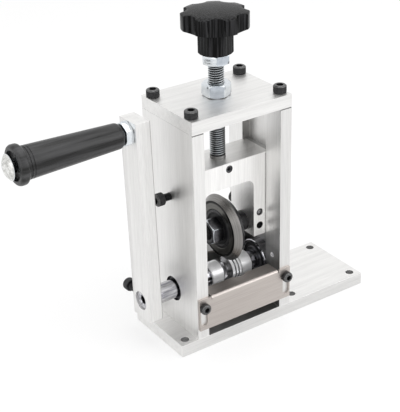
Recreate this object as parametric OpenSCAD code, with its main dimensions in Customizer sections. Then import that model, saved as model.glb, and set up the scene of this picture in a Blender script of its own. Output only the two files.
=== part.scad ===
// Hand crank wire stripper, built as separate pieces.
// Millimetres. The origin is the middle of the base plate's underside, +Z is up,
// +X runs along the base away from the crank, and +Y runs from the front to the back.

/* [Base plate] */
// Length of the base plate
base_l = 180; // [170:1:220]
// Depth of the base plate, and of the tower on it
base_w = 66; // [62:1:76]
// Thickness of the base plate
base_t = 10; // [9:0.5:14]
// Diameter of the fixing holes
mount_hole_d = 6.6; // [5.5:0.1:7]
// Distance of the corner holes from the edges
mount_inset = 7; // [6:0.5:7.5]
// Place of the two spare holes, from the middle of the base
spare_hole_x = 23; // [20:1:40]
// Distance of the spare holes from the front and back edges
spare_hole_inset = 9.7; // [8:0.1:14]

/* [Tower] */
// Bare length of base between its crank end and the tower
tower_gap = 15; // [14:1:20]
// Clear space between the two side plates
inner_l = 68; // [66:1:76]
// Thickness of the side plates
plate_t = 10; // [10:0.5:14]
// Height of the side plates
side_h = 170; // [160:1:190]
// Thickness of the top plate
top_t = 10; // [8:0.5:14]
// Width of the guide groove in each side plate
groove_w = 30; // [28:0.5:31]
// Depth of the guide groove
groove_d = 7; // [5:0.25:7.5]
// Diameter of the clear hole round the drive shaft
shaft_hole_d = 20; // [18:0.5:24]
// Depth of the bearing pocket in a side plate
pocket_d = 8; // [7.75:0.25:8.5]
// Distance of the top screws from the front and back faces
top_screw_inset = 8; // [7:0.5:10]
// Distance of the base screws from the front and back faces
base_screw_inset = 13; // [11:0.5:14]

/* [Drive shaft and roller] */
// Diameter of the drive shaft, which is also the bore of its bearings
shaft_d = 15; // [12:0.5:16]
// Height of the shaft above the top of the base plate
shaft_h = 30; // [28:0.5:34]
// Diameter of the feed roller
roller_d = 20; // [19:0.5:22]
// Length of the feed roller from the wire groove towards the crank
roller_l_near = 16.6; // [14:0.1:19]
// Length of the feed roller from the wire groove away from the crank
roller_l_far = 21.7; // [16:0.1:24]
// Width of the wire groove
vee_w = 5; // [4:0.5:8]
// Depth of the wire groove
vee_d = 3; // [2:0.25:4]
// Width of the knurled band on the crank's side of the wire groove
knurl_near = 3; // [2:0.5:6]
// Width of the knurled band on the far side, which two fine grooves divide
knurl_far = 9; // [6:0.5:12]
// Distance from the tower's middle to the cutting plane
cut_x = 3; // [0:0.5:4]
// Tapping size of the thread in the shaft's end
drive_hole_d = 6.8; // [6:0.1:8.5]
// Depth of the thread in the shaft's end
drive_hole_l = 20; // [12:1:30]
// Distance of the shaft's end inside the arm's outer face
shaft_sink = 1.5; // [0.5:0.25:3]

/* [Crank] */
// Distance from the tower to the crank arm
arm_gap = 17.7; // [17.5:0.1:24]
// Thickness of the crank arm
arm_t = 12; // [10:0.5:14]
// Width of the crank arm
arm_w = 22; // [20:0.5:26]
// Metal left in the arm beyond the handle's axis
arm_end = 9.5; // [9:0.5:20]
// Length of the arm below the shaft
arm_down = 15; // [12:0.5:16]
// Distance from the shaft to the handle
crank_r = 138; // [110:1:150]
// Angle at which the arm rests, leaning to the back
crank_lean = 1.5; // [0:0.5:10]
// Length of the clamp screw in the arm
arm_screw_l = 16; // [10:1:20]

/* [Handle] */
// Diameter of the handle bolt
handle_bolt_d = 10; // [8:0.5:12]
// Thickness of the jam nut on the handle bolt
jam_nut_t = 6; // [5:0.5:8]
// Width across flats of the jam nut
jam_nut_af = 17; // [16:0.5:19]
// Length of the rubber grip
grip_l = 83; // [70:1:100]
// Diameter of the grip beside the arm
grip_d_in = 19; // [18:0.5:22]
// Diameter of the grip before its collar
grip_d_out = 24; // [22:0.5:26]
// Diameter of the collar at the end of the grip
collar_d = 29; // [27:0.5:34]
// Length of the collar
collar_l = 7; // [5:0.5:10]
// Diameter of the bolt's domed head
handle_head_d = 19; // [17:0.5:22]
// Height of the bolt's domed head
handle_head_h = 4; // [3:0.5:6]
// Gap between the grip and the bolt's head
handle_play = 3; // [0.5:0.5:5]
// Depth of the recess in the outer end of the grip
grip_recess = 3; // [1:0.5:6]

/* [Slide block] */
// Height of the slide block
block_h = 70; // [66:1:76]
// Height of the bar across its top
bar_h = 20; // [18:1:24]
// Thickness of each leg, measured from the side plate inwards
leg_l = 11.5; // [10.5:0.5:12]
// Radius in the corners under the bar
corner_r = 6; // [3:0.5:8]
// Depth of each leg's foot, from the front
foot_w = 22; // [20.5:0.5:24]
// Height of the foot
foot_h = 16; // [12:0.5:16]
// Height of the blade axle above the underside of the block
axle_h = 8.5; // [7.5:0.5:10]
// Height of the leg screws above the underside of the block
leg_screw_h = 20; // [19:0.5:26]
// Distance of the retainer screw below the top of the block
retainer_drop = 5; // [4:0.5:6]

/* [Blade] */
// Radius of the cutting edge
blade_r = 27; // [24:0.5:30]
// Radius of the flat face inside the bevel
blade_face_r = 22.8; // [19:0.1:23]
// Thickness of the blade
blade_t = 10; // [10:0.5:12]
// Diameter of the blade axle, which is also the bore of its bearing
axle_d = 12; // [10:0.5:12.5]
// Thickness of the axle nut
axle_nut_t = 10; // [6:0.5:10]
// Outer diameter of the spacer between blade and leg
spacer_d = 16; // [15.5:0.5:17.5]
// Width across flats of the axle nut
axle_nut_af = 19; // [17:0.5:21]
// Gap between the blade's edge and the roller
blade_gap = 1.5; // [0.5:0.5:6]

/* [Adjusting screw] */
// Diameter of the adjusting screw
screw_d = 12; // [10:0.5:12]
// Thread pitch of the adjusting screw
screw_pitch = 1.75; // [1.5:0.05:2]
// Depth of the screw's seat in the block
screw_seat = 12; // [10:0.5:14]
// Width across flats of the two nuts on the screw
nut_af = 19; // [18:0.5:21]
// Thickness of the lock nut
lock_nut_t = 10; // [7:0.5:11]
// Bare thread between the lock nut and the knob's nut
thread_show = 14.5; // [8:0.5:20]
// Thickness of the knob's nut
knob_nut_t = 8; // [5:0.5:9]

/* [Knob] */
// Outer radius of the knob
knob_r = 24.7; // [22:0.1:28]
// Number of lobes
knob_lobes = 7; // [5:1:8]
// Height of the knob's head
knob_head_h = 14; // [12:0.5:20]
// Height of the hub below the head
hub_h = 16.5; // [14:0.5:24]
// Corner radius of the hub
hub_r = 13.2; // [12:0.1:14.5]
// Radius of the hollows between the lobes
scallop_r = 7.5; // [5:0.5:9]
// Depth of the hollows between the lobes
scallop_d = 4.5; // [3:0.25:6]
// Direction of one hollow, seen from above
scallop_angle = -122; // [-180:1:180]

/* [Wire guides] */
// Thickness of the guide plates
guide_t = 1.5; // [1:0.25:2]
// Height of the guide plates
guide_h = 27.3; // [26.5:0.1:30]
// Height of the guide screws above the top of the base plate
guide_screw_h = 27.7; // [26:0.1:30]
// Width of the slots
slot_w = 6; // [5.5:0.1:6.5]
// Length of the slots
slot_l = 19.2; // [16:0.1:19.2]
// Metal left above a slot
slot_edge = 4.6; // [3:0.1:5]
// Depth of the bent flange
flange_w = 13.5; // [8:0.5:15]
// Gap between the ends of the flange and the side plates
flange_end_gap = 2.5; // [1.5:0.5:5]

/* [Screws] */
// Diameter of the main cap screws
cap_d = 6; // [5:0.5:6]
// Head diameter of the main cap screws
cap_head_d = 10; // [9:0.5:10.5]
// Head height of the main cap screws
cap_head_h = 6; // [5:0.5:6]
// Diameter of the guide screws
small_cap_d = 5; // [4:0.5:5]
// Head diameter of the guide screws
small_head_d = 8.5; // [8:0.5:9]
// Head height of the guide screws
small_head_h = 4; // [3.5:0.5:5]
// Length of shank that shows on the lock screw
lock_screw_show = 6; // [5:0.5:8]
// Height of the lock screw above the top of the base plate
lock_screw_h = 110; // [100:1:120]
// Length of thread that the top screws hold in the side plates
top_screw_grip = 10; // [8:1:16]
// Height of the small hole in the right side plate above the top of the base plate
wire_hole_h = 43.7; // [40:0.1:60]
// Distance of the small hole from the front face
wire_hole_inset = 9.6; // [8:0.1:12]
// Radius of the small hole
wire_hole_r = 2; // [1.5:0.1:2.5]
// Depth of the small hole
wire_hole_l = 6; // [4:0.5:8]

/* [Hidden] */
$fn = 64;

// Clearances: a snug fit, a thread drawn as plain walls, a flat slide, and a running gap
fit_gap = 0.02;
thread_gap = 0.05;
slide_gap = 0.15;
guide_gap = 0.1;
run_gap = 0.3;
// Small edge breaks and the overshoot of cutting shapes
edge = 0.6;
over = 1;

// Heights
shaft_z = base_t + shaft_h;
plate_top = base_t + side_h;
tower_top = plate_top + top_t;
blade_z = shaft_z + roller_d / 2 + blade_gap + blade_r;
block_z = blade_z - axle_h;
block_top = block_z + block_h;
lock_nut_top = tower_top + lock_nut_t;
knob_nut_z = lock_nut_top + thread_show;
hub_z = knob_nut_z + knob_nut_t;
head_z = hub_z + hub_h;

// Places along the tower, measured from its middle
tower_x = -base_l / 2 + tower_gap + plate_t + inner_l / 2;
half_in = inner_l / 2;
half_out = half_in + plate_t;
plate_mid = half_in + plate_t / 2;
cut_half = half_in - leg_l;
block_half = half_in + groove_d - slide_gap;
leg_mid = cut_half + leg_l / 2;
half_w = base_w / 2;
block_y = groove_w / 2 - slide_gap;

// Bearings: bore, outside diameter, width, inner ring shoulder, outer ring shoulder, ball radius, balls
shaft_bearing = [shaft_d, shaft_d + 17, 9, shaft_d + 5.5, shaft_d + 12, 2.38, 9];
blade_bearing = [axle_d, axle_d + 20, 10, axle_d + 6, axle_d + 14, 2.98, 7];
race_gap = 0.12;
seal_t = 0.8;
seal_sink = 0.3;
seal_lip = 0.4;
shaft_bearing_x = half_in + pocket_d - shaft_bearing[2];
blade_bearing_x = cut_x - blade_bearing[2] / 2;

// Crank and handle, along X from the tower's middle
arm_in = -half_out - arm_gap;
arm_out = arm_in - arm_t;
shaft_right = half_in + pocket_d + 1;
shaft_out = arm_out + shaft_sink;
nut_out = arm_out - jam_nut_t;
grip_in = nut_out - run_gap;
grip_out = grip_in - grip_l;
head_in = grip_out - handle_play;

// Screw sizes that follow the thread
cap_key = 5;
small_key = 4;
key_depth = 3;
top_screw_l = top_t + top_screw_grip;
counterbore = cap_head_h + 0.5;
base_screw_l = 16;
guide_screw_l = 12;
tap_spare = 2;
guide_screw_z = base_t + guide_screw_h;
guide_top = guide_screw_z + slot_w / 2 + slot_edge;
guide_z = guide_top - guide_h;
guide_half = half_out - 1;
flange_half = half_in - flange_end_gap;
bend_r = guide_t + 1;
top_screw_y = half_w - top_screw_inset;
base_screw_y = half_w - base_screw_inset;
retainer_z = block_top - retainer_drop;
neck_r = screw_d / 2 - 2;
neck_h = cap_d + 2 * run_gap;
leg_screw_l = 2 * block_y - 0.5;
lock_screw_z = base_t + lock_screw_h;
axle_screw_l = block_y - axle_d / 2 - 2;
wire_hole_y = wire_hole_inset - half_w;
wire_hole_z = base_t + wire_hole_h;

// Colours
plate_colour = [0.86, 0.87, 0.87];
zinc_colour = [0.78, 0.81, 0.84];
chrome_colour = [0.75, 0.76, 0.79];
black_colour = [0.12, 0.12, 0.13];
guide_colour = [0.75, 0.71, 0.68];
grip_colour = [0.25, 0.25, 0.26];
knob_colour = [0.2, 0.2, 0.21];
blade_colour = [0.5, 0.49, 0.47];

// A solid rod along X
module rod_x(x0, x1, r) {
    translate([x0, 0, 0]) rotate([0, 90, 0]) cylinder(h = x1 - x0, r = r);
}

// A solid rod along Y
module rod_y(y0, y1, r) {
    translate([0, y0, 0]) rotate([-90, 0, 0]) cylinder(h = y1 - y0, r = r);
}

// A tube along X
module tube_x(x0, x1, r_out, r_in) {
    difference() {
        rod_x(x0, x1, r_out);
        rod_x(x0 - over, x1 + over, r_in);
    }
}

// A shape turned about the X axis from points given as [radius, x]
module turned_x(points) {
    rotate([0, 90, 0]) rotate_extrude() polygon(points);
}

// A hexagonal prism along Z with broken corners and a bore
module hex_nut(af, h, bore_r) {
    corner = af / 2 / cos(30);
    difference() {
        intersection() {
            cylinder(h = h, r = corner, $fn = 6);
            rotate_extrude() polygon([[0, 0], [af / 2, 0], [corner, edge], [corner, h - edge],
                [af / 2, h], [0, h]]);
        }
        translate([0, 0, -over]) cylinder(h = h + 2 * over, r = bore_r);
    }
}

// A socket head cap screw: the head stands on z = 0 and the shank points down
module cap_screw(d, l, head_d, head_h, key) {
    r = d / 2 - thread_gap;
    difference() {
        rotate_extrude() polygon([[0, -l], [r - edge, -l], [r, -l + edge], [r, 0], [head_d / 2, 0],
            [head_d / 2, head_h - edge], [head_d / 2 - edge, head_h], [0, head_h]]);
        translate([0, 0, head_h - key_depth])
            cylinder(h = key_depth + over, r = key / 2 / cos(30), $fn = 6);
    }
}

module main_screw(l) {
    cap_screw(cap_d, l, cap_head_d, cap_head_h, cap_key);
}

// A headless screw along Z with its socket at the top, from z = 0 down
module grub_screw(d, l, tip_r, tip_l) {
    r = d / 2 - thread_gap;
    difference() {
        rotate_extrude() polygon([[0, -l], [tip_r, -l], [tip_r, -l + tip_l], [r, -l + tip_l], [r, 0],
            [0, 0]]);
        translate([0, 0, -key_depth]) cylinder(h = key_depth + over, r = d / 4 / cos(30), $fn = 6);
    }
}

// The parts of a ball bearing along X, from x = 0
module bearing_outer(b) {
    seat_r = b[4] / 2 + seal_lip;
    difference() {
        tube_x(0, b[2], b[1] / 2, b[4] / 2);
        ball_race(b);
        rod_x(-over, seal_sink + seal_t, seat_r);
        rod_x(b[2] - seal_sink - seal_t, b[2] + over, seat_r);
    }
}

module bearing_inner(b) {
    difference() {
        tube_x(0, b[2], b[3] / 2, b[0] / 2);
        ball_race(b);
    }
}

module ball_race(b) {
    translate([b[2] / 2, 0, 0]) rotate([0, 90, 0]) rotate_extrude()
        translate([(b[3] + b[4]) / 4, 0]) circle(r = b[5] + race_gap);
}

module bearing_balls(b) {
    for (i = [0 : b[6] - 1]) rotate([i * 360 / b[6], 0, 0])
        translate([b[2] / 2, 0, (b[3] + b[4]) / 4]) sphere(r = b[5]);
}

module bearing_seals(b) {
    for (x = [seal_sink, b[2] - seal_sink - seal_t])
        tube_x(x, x + seal_t, b[4] / 2 + seal_lip - fit_gap, b[3] / 2 + run_gap);
}

// Frames of reference
module on_tower() {
    translate([tower_x, 0, 0]) children();
}

module on_shaft() {
    translate([tower_x, 0, shaft_z]) children();
}

module on_crank() {
    on_shaft() rotate([-crank_lean, 0, 0]) children();
}

module on_handle() {
    on_crank() translate([0, 0, crank_r]) children();
}

module on_axle() {
    translate([tower_x, 0, blade_z]) children();
}

module at_left_bearing() {
    on_shaft() mirror([1, 0, 0]) translate([shaft_bearing_x, 0, 0]) children();
}

module at_right_bearing() {
    on_shaft() translate([shaft_bearing_x, 0, 0]) children();
}

module at_blade_bearing() {
    on_axle() translate([blade_bearing_x, 0, 0]) children();
}

module base_plate() {
    corner_x = base_l / 2 - mount_inset;
    corner_y = half_w - mount_inset;
    spare_y = half_w - spare_hole_inset;
    color(plate_colour) difference() {
        translate([-base_l / 2, -half_w, 0]) cube([base_l, base_w, base_t]);
        for (x = [-corner_x, corner_x], y = [-corner_y, corner_y])
            translate([x, y, -over]) cylinder(h = base_t + 2 * over, d = mount_hole_d);
        for (y = [-spare_y, spare_y])
            translate([spare_hole_x, y, -over]) cylinder(h = base_t + 2 * over, d = mount_hole_d);
        for (x = [-plate_mid, plate_mid], y = [-base_screw_y, base_screw_y]) {
            translate([tower_x + x, y, -over]) cylinder(h = base_t + 2 * over, d = cap_d);
            translate([tower_x + x, y, -over])
                cylinder(h = counterbore + over, r = cap_head_d / 2 + run_gap);
        }
    }
}

// The right side plate; the left one is its mirror image
module side_plate() {
    difference() {
        translate([half_in, -half_w, base_t]) cube([plate_t, base_w, side_h]);
        translate([half_in - over, -groove_w / 2, base_t - over])
            cube([groove_d + over, groove_w, side_h + 2 * over]);
        translate([0, 0, shaft_z])
            rod_x(half_in - over, half_in + pocket_d, shaft_bearing[1] / 2 + fit_gap);
        translate([0, 0, shaft_z]) rod_x(half_in - over, half_out + over, shaft_hole_d / 2);
        for (y = [-top_screw_y, top_screw_y])
            translate([plate_mid, y, tower_top - top_screw_l - tap_spare])
                cylinder(h = top_screw_l, d = cap_d);
        for (y = [-base_screw_y, base_screw_y])
            translate([plate_mid, y, base_t - over])
                cylinder(h = over + counterbore - base_t + base_screw_l + tap_spare, d = cap_d);
        for (s = [-1, 1]) translate([plate_mid, 0, guide_screw_z]) scale([1, s, 1])
            rod_y(half_w - guide_screw_l, half_w + over, small_cap_d / 2);
    }
}

module left_side_plate() {
    color(plate_colour) on_tower() difference() {
        mirror([1, 0, 0]) side_plate();
        translate([0, 0, lock_screw_z]) rod_x(-half_out - over, -half_in, cap_d / 2);
    }
}

module right_side_plate() {
    color(plate_colour) on_tower() difference() {
        side_plate();
        translate([0, wire_hole_y, wire_hole_z])
            rod_x(half_in - over, half_in + wire_hole_l, wire_hole_r);
    }
}

module top_plate() {
    color(plate_colour) on_tower() difference() {
        translate([-half_out, -half_w, plate_top]) cube([2 * half_out, base_w, top_t]);
        translate([0, 0, plate_top - over]) cylinder(h = top_t + 2 * over, r = screw_d / 2 + fit_gap);
        for (x = [-plate_mid, plate_mid], y = [-top_screw_y, top_screw_y])
            translate([x, y, plate_top - over]) cylinder(h = top_t + 2 * over, r = cap_d / 2 + run_gap);
    }
}

module top_plate_screws() {
    color(black_colour) on_tower()
        for (x = [-plate_mid, plate_mid], y = [-top_screw_y, top_screw_y])
            translate([x, y, tower_top]) main_screw(top_screw_l);
}

module base_screws() {
    color(black_colour) on_tower()
        for (x = [-plate_mid, plate_mid], y = [-base_screw_y, base_screw_y])
            translate([x, y, counterbore]) mirror([0, 0, 1]) main_screw(base_screw_l);
}

// The front guide plate; the rear one is its mirror image
module guide_plate() {
    face = -half_w - guide_gap;
    slot_top = guide_screw_z + slot_w / 2;
    flange_end = face - guide_t + flange_w;
    difference() {
        union() {
            translate([-guide_half, face - guide_t, guide_z])
                cube([2 * guide_half, guide_t, guide_h - bend_r]);
            for (s = [0, 1]) mirror([s, 0, 0]) translate([flange_half + edge, face - guide_t, guide_z])
                cube([guide_half - flange_half - edge, guide_t, guide_h]);
            translate([0, face - guide_t + bend_r, guide_top - bend_r]) difference() {
                tube_x(-flange_half, flange_half, bend_r, bend_r - guide_t);
                translate([-half_in, -bend_r, -2 * bend_r])
                    cube([inner_l, 2 * bend_r, 2 * bend_r]);
                translate([-half_in, 0, -bend_r]) cube([inner_l, 2 * bend_r, 2 * bend_r]);
            }
            translate([-flange_half, face - guide_t + bend_r, guide_top - guide_t])
                cube([2 * flange_half, flange_w - bend_r, guide_t]);
        }
        for (x = [-plate_mid, plate_mid]) {
            for (z = [slot_top - slot_w / 2, slot_top - slot_l + slot_w / 2])
                translate([x, 0, z]) rod_y(face - guide_t - over, face + over, slot_w / 2);
            translate([x - slot_w / 2, face - guide_t - over, slot_top - slot_l + slot_w / 2])
                cube([slot_w, guide_t + 2 * over, slot_l - slot_w]);
        }
        translate([cut_x, flange_end + flange_w / 2, guide_top - flange_w])
            cylinder(h = 2 * flange_w, r = flange_w / 2 + 2.5);
    }
}

module front_guide_plate() {
    color(guide_colour) on_tower() guide_plate();
}

module rear_guide_plate() {
    color(guide_colour) on_tower() mirror([0, 1, 0]) guide_plate();
}

module guide_screws() {
    for (x = [-plate_mid, plate_mid])
        translate([x, -half_w - 2 * guide_gap - guide_t, guide_screw_z]) rotate([90, 0, 0])
            cap_screw(small_cap_d, guide_screw_l, small_head_d, small_head_h, small_key);
}

module front_guide_screws() {
    color(black_colour) on_tower() guide_screws();
}

module rear_guide_screws() {
    color(black_colour) on_tower() mirror([0, 1, 0]) guide_screws();
}

module left_bearing_outer() {
    color(chrome_colour) at_left_bearing() bearing_outer(shaft_bearing);
}

module left_bearing_inner() {
    color(chrome_colour) at_left_bearing() bearing_inner(shaft_bearing);
}

module left_bearing_balls() {
    color(chrome_colour) at_left_bearing() bearing_balls(shaft_bearing);
}

module left_bearing_seals() {
    color(black_colour) at_left_bearing() bearing_seals(shaft_bearing);
}

module right_bearing_outer() {
    color(chrome_colour) at_right_bearing() bearing_outer(shaft_bearing);
}

module right_bearing_inner() {
    color(chrome_colour) at_right_bearing() bearing_inner(shaft_bearing);
}

module right_bearing_balls() {
    color(chrome_colour) at_right_bearing() bearing_balls(shaft_bearing);
}

module right_bearing_seals() {
    color(black_colour) at_right_bearing() bearing_seals(shaft_bearing);
}

// The knurled bands are drawn as rings one millimetre apart
module drive_shaft() {
    r = shaft_d / 2 - fit_gap;
    ro = roller_d / 2;
    x0 = cut_x - roller_l_near;
    x1 = cut_x + roller_l_far;
    v = vee_w / 2;
    ring = 0.35;
    split = 1;
    near_band = [for (i = [0 : 2 * knurl_near])
        [ro - (i % 2 == 0 ? 0 : ring), cut_x - v - knurl_near + i / 2]];
    far_band = [for (i = [0 : 2 * knurl_far])
        [ro - (i % 2 == 0 ? 0 : ring), cut_x + v + i / 2]];
    color(chrome_colour) on_shaft() difference() {
        turned_x(concat(
            [[0, shaft_out], [r - edge, shaft_out], [r, shaft_out + edge], [r, x0]],
            [[ro - edge, x0], [ro, x0 + edge]],
            near_band, [[ro - vee_d, cut_x]], far_band,
            [[ro, x1 - edge], [ro - edge, x1]],
            [[r, x1], [r, shaft_right - edge], [r - edge, shaft_right], [0, shaft_right]]));
        rod_x(shaft_out - over, shaft_out + drive_hole_l, drive_hole_d / 2);
        for (i = [1, 2]) translate([cut_x + v + i * knurl_far / 3 - split / 2, 0, 0])
            tube_x(0, split, ro + over, ro - split);
    }
}

module crank_arm() {
    color(plate_colour) on_crank() difference() {
        translate([arm_out, -arm_w / 2, -arm_down]) cube([arm_t, arm_w, arm_down + crank_r + arm_end]);
        rod_x(arm_out - over, arm_in + over, shaft_d / 2);
        translate([0, 0, crank_r]) rod_x(arm_out - over, arm_in + over, handle_bolt_d / 2);
        translate([(arm_out + arm_in) / 2, 0, 0]) rod_y(0, arm_w / 2 + over, cap_d / 2);
    }
}

module arm_clamp_screw() {
    color(black_colour) on_crank()
        translate([(arm_out + arm_in) / 2, shaft_d / 2 + arm_screw_l, 0]) rotate([-90, 0, 0])
            main_screw(arm_screw_l);
}

module handle_bolt() {
    r = handle_bolt_d / 2 - thread_gap;
    hr = handle_head_d / 2;
    h = handle_head_h;
    dome_r = (hr * hr + h * h) / (2 * h);
    steps = 8;
    dome = [for (i = [0 : steps]) let (a = asin(hr / dome_r) * (1 - i / steps))
        [dome_r * sin(a), head_in - h + dome_r - dome_r * cos(a)]];
    color(zinc_colour) on_handle()
        turned_x(concat([[0, arm_in], [r, arm_in], [r, head_in]], dome));
}

module handle_jam_nut() {
    color(zinc_colour) on_handle() translate([nut_out, 0, 0]) rotate([0, 90, 0])
        hex_nut(jam_nut_af, jam_nut_t, handle_bolt_d / 2);
}

module handle_grip() {
    bore = handle_bolt_d / 2 + run_gap;
    ri = grip_d_in / 2;
    ro = grip_d_out / 2;
    rc = collar_d / 2;
    round_in = 4;
    round_out = 2.5;
    x_collar = grip_out + collar_l;
    recess_r = handle_head_d / 2 + 1.25;
    inner_end = [for (a = [0 : 15 : 90])
        [ri - round_in + round_in * sin(a), grip_in - round_in + round_in * cos(a)]];
    collar_in = [for (a = [0 : 30 : 90])
        [rc - round_out + round_out * sin(a), x_collar - round_out + round_out * cos(a)]];
    collar_out = [for (a = [90 : 30 : 180])
        [rc - round_out + round_out * sin(a), grip_out + round_out + round_out * cos(a)]];
    color(grip_colour) on_handle()
        turned_x(concat([[bore, grip_in]], inner_end, [[ro, x_collar]], collar_in, collar_out,
            [[recess_r, grip_out], [recess_r, grip_out + grip_recess],
            [bore, grip_out + grip_recess]]));
}

module slide_block() {
    color(plate_colour) on_tower() difference() {
        translate([-block_half, -block_y, block_z]) cube([2 * block_half, 2 * block_y, block_h]);
        translate([-cut_half, -half_w, block_z - over])
            cube([2 * cut_half, base_w, block_h - bar_h - corner_r + over]);
        translate([-cut_half + corner_r, -half_w, block_z])
            cube([2 * (cut_half - corner_r), base_w, block_h - bar_h]);
        for (s = [-1, 1]) translate([s * (cut_half - corner_r), 0, block_top - bar_h - corner_r])
            rod_y(-half_w, half_w, corner_r);
        translate([-half_out, -block_y + foot_w, block_z - over])
            cube([2 * half_out, base_w, foot_h + over]);
        translate([0, 0, blade_z]) rod_x(cut_half - over, half_out, axle_d / 2);
        translate([0, 0, block_top - screw_seat])
            cylinder(h = screw_seat + over, r = screw_d / 2 + fit_gap);
        translate([0, 0, retainer_z]) rod_y(-half_w, 0, cap_d / 2);
        for (s = [-1, 1]) translate([s * leg_mid, 0, block_z + leg_screw_h])
            rod_y(-half_w, half_w, cap_d / 2);
        translate([leg_mid, 0, blade_z]) rod_y(-half_w, 0, cap_d / 2);
    }
}

// A headless screw that reaches into the neck of the adjusting screw
module block_retainer_screw() {
    sink = 0.5;
    tip = neck_r + run_gap;
    color(zinc_colour) on_tower() translate([0, -block_y + sink, retainer_z]) rotate([90, 0, 0])
        grub_screw(cap_d, block_y - sink - tip, cap_d / 2 - 1, screw_d / 2 - neck_r);
}

module leg_screws() {
    color(black_colour) on_tower() for (s = [-1, 1])
        translate([s * leg_mid, block_y, block_z + leg_screw_h]) rotate([-90, 0, 0])
            main_screw(leg_screw_l);
}

module axle_set_screw() {
    color(black_colour) on_tower()
        translate([leg_mid, -axle_d / 2 - axle_screw_l, blade_z]) rotate([90, 0, 0])
            grub_screw(cap_d, axle_screw_l, cap_d / 2 - edge, edge);
}

module blade_axle() {
    r = axle_d / 2 - fit_gap;
    x0 = blade_bearing_x - axle_nut_t - over;
    x1 = half_in + groove_d - over;
    color(black_colour) on_axle()
        turned_x([[0, x0], [r - edge, x0], [r, x0 + edge], [r, x1 - edge], [r - edge, x1],
            [0, x1]]);
}

module axle_nut() {
    color(zinc_colour) on_axle() translate([blade_bearing_x - axle_nut_t, 0, 0]) rotate([0, 90, 0])
        hex_nut(axle_nut_af, axle_nut_t, axle_d / 2);
}

module axle_spacer() {
    color(black_colour) on_axle()
        tube_x(blade_bearing_x + blade_bearing[2], cut_half, spacer_d / 2, axle_d / 2);
}

module blade_bearing_outer() {
    color(chrome_colour) at_blade_bearing() bearing_outer(blade_bearing);
}

module blade_bearing_inner() {
    color(chrome_colour) at_blade_bearing() bearing_inner(blade_bearing);
}

module blade_bearing_balls() {
    color(chrome_colour) at_blade_bearing() bearing_balls(blade_bearing);
}

module blade_bearing_seals() {
    color(black_colour) at_blade_bearing() bearing_seals(blade_bearing);
}

module blade_disc() {
    t = blade_t / 2;
    bore = blade_bearing[1] / 2 + fit_gap;
    land = 0.1;
    color(blade_colour) on_axle() translate([cut_x, 0, 0])
        turned_x([[bore, -t], [blade_face_r, -t], [blade_r, -land], [blade_r, land],
            [blade_face_r, t], [bore, t]]);
}

// The thread is drawn as rings one pitch apart, with a neck near the tip for the retainer screw
module adjusting_screw() {
    r = screw_d / 2 - thread_gap;
    root = r - 0.6 * screw_pitch;
    z0 = block_top - screw_seat + run_gap;
    z1 = hub_z + hub_h;
    turns = floor((z1 - block_top - screw_pitch) / screw_pitch);
    thread = [for (i = [0 : turns - 1], k = [0, 1])
        [k == 0 ? root : r, block_top + screw_pitch * (1 + i + k / 2)]];
    color(zinc_colour) on_tower() rotate_extrude() polygon(concat(
        [[0, z0], [r - edge, z0], [r, z0 + edge], [r, retainer_z - neck_h / 2]],
        [[neck_r, retainer_z - neck_h / 2], [neck_r, retainer_z + neck_h / 2]],
        [[r, retainer_z + neck_h / 2], [r, block_top + screw_pitch / 2]],
        thread, [[r, z1 - edge], [r - edge, z1], [0, z1]]));
}

module knob_nut() {
    color(zinc_colour) on_tower() translate([0, 0, knob_nut_z]) rotate([0, 0, scallop_angle])
        hex_nut(nut_af, knob_nut_t, screw_d / 2);
}

module lock_nut() {
    color(zinc_colour) on_tower() translate([0, 0, tower_top]) rotate([0, 0, scallop_angle + 30])
        hex_nut(nut_af, lock_nut_t, screw_d / 2);
}

module knob_insert() {
    color(zinc_colour) on_tower() translate([0, 0, hub_z]) difference() {
        cylinder(h = hub_h, r = hub_r - 5);
        translate([0, 0, -over]) cylinder(h = hub_h + 2 * over, r = screw_d / 2);
    }
}

module star_knob() {
    h = knob_head_h;
    r = knob_r;
    chamfer = 1.2;
    crown = 1.3;
    color(knob_colour) on_tower() difference() {
        union() {
            translate([0, 0, hub_z]) rotate([0, 0, scallop_angle + 180 / knob_lobes])
                intersection() {
                    cylinder(h = hub_h + over, r = hub_r, $fn = knob_lobes);
                    cylinder(h = hub_h + over, r1 = hub_r - 1, r2 = hub_r + hub_h);
                }
            translate([0, 0, head_z]) rotate_extrude()
                polygon([[0, 0], [r - 2 * chamfer, 0], [r, chamfer], [r, h - chamfer],
                    [r - chamfer, h], [r / 2, h + crown * 0.8], [0, h + crown]]);
        }
        for (i = [0 : knob_lobes - 1]) rotate([0, 0, scallop_angle + i * 360 / knob_lobes])
            translate([r - scallop_d + scallop_r, 0, head_z - over])
                cylinder(h = h + crown + 2 * over, r = scallop_r);
        translate([0, 0, hub_z - over]) cylinder(h = hub_h + over, r = hub_r - 5 + fit_gap);
    }
}

// The screw's tip rests against the side of the slide block
module block_lock_screw() {
    tip = -half_in - groove_d;
    wall = plate_t - groove_d;
    color(black_colour) on_tower() translate([tip - wall - lock_screw_show, 0, lock_screw_z])
        rotate([0, -90, 0]) main_screw(wall + lock_screw_show);
}

base_plate();
left_side_plate();
right_side_plate();
top_plate();
top_plate_screws();
base_screws();
front_guide_plate();
rear_guide_plate();
front_guide_screws();
rear_guide_screws();
left_bearing_outer();
left_bearing_inner();
left_bearing_balls();
left_bearing_seals();
right_bearing_outer();
right_bearing_inner();
right_bearing_balls();
right_bearing_seals();
drive_shaft();
crank_arm();
arm_clamp_screw();
handle_bolt();
handle_jam_nut();
handle_grip();
slide_block();
block_retainer_screw();
leg_screws();
axle_set_screw();
blade_axle();
axle_nut();
axle_spacer();
blade_bearing_outer();
blade_bearing_inner();
blade_bearing_balls();
blade_bearing_seals();
blade_disc();
adjusting_screw();
knob_nut();
knob_insert();
star_knob();
lock_nut();
block_lock_screw();
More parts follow.
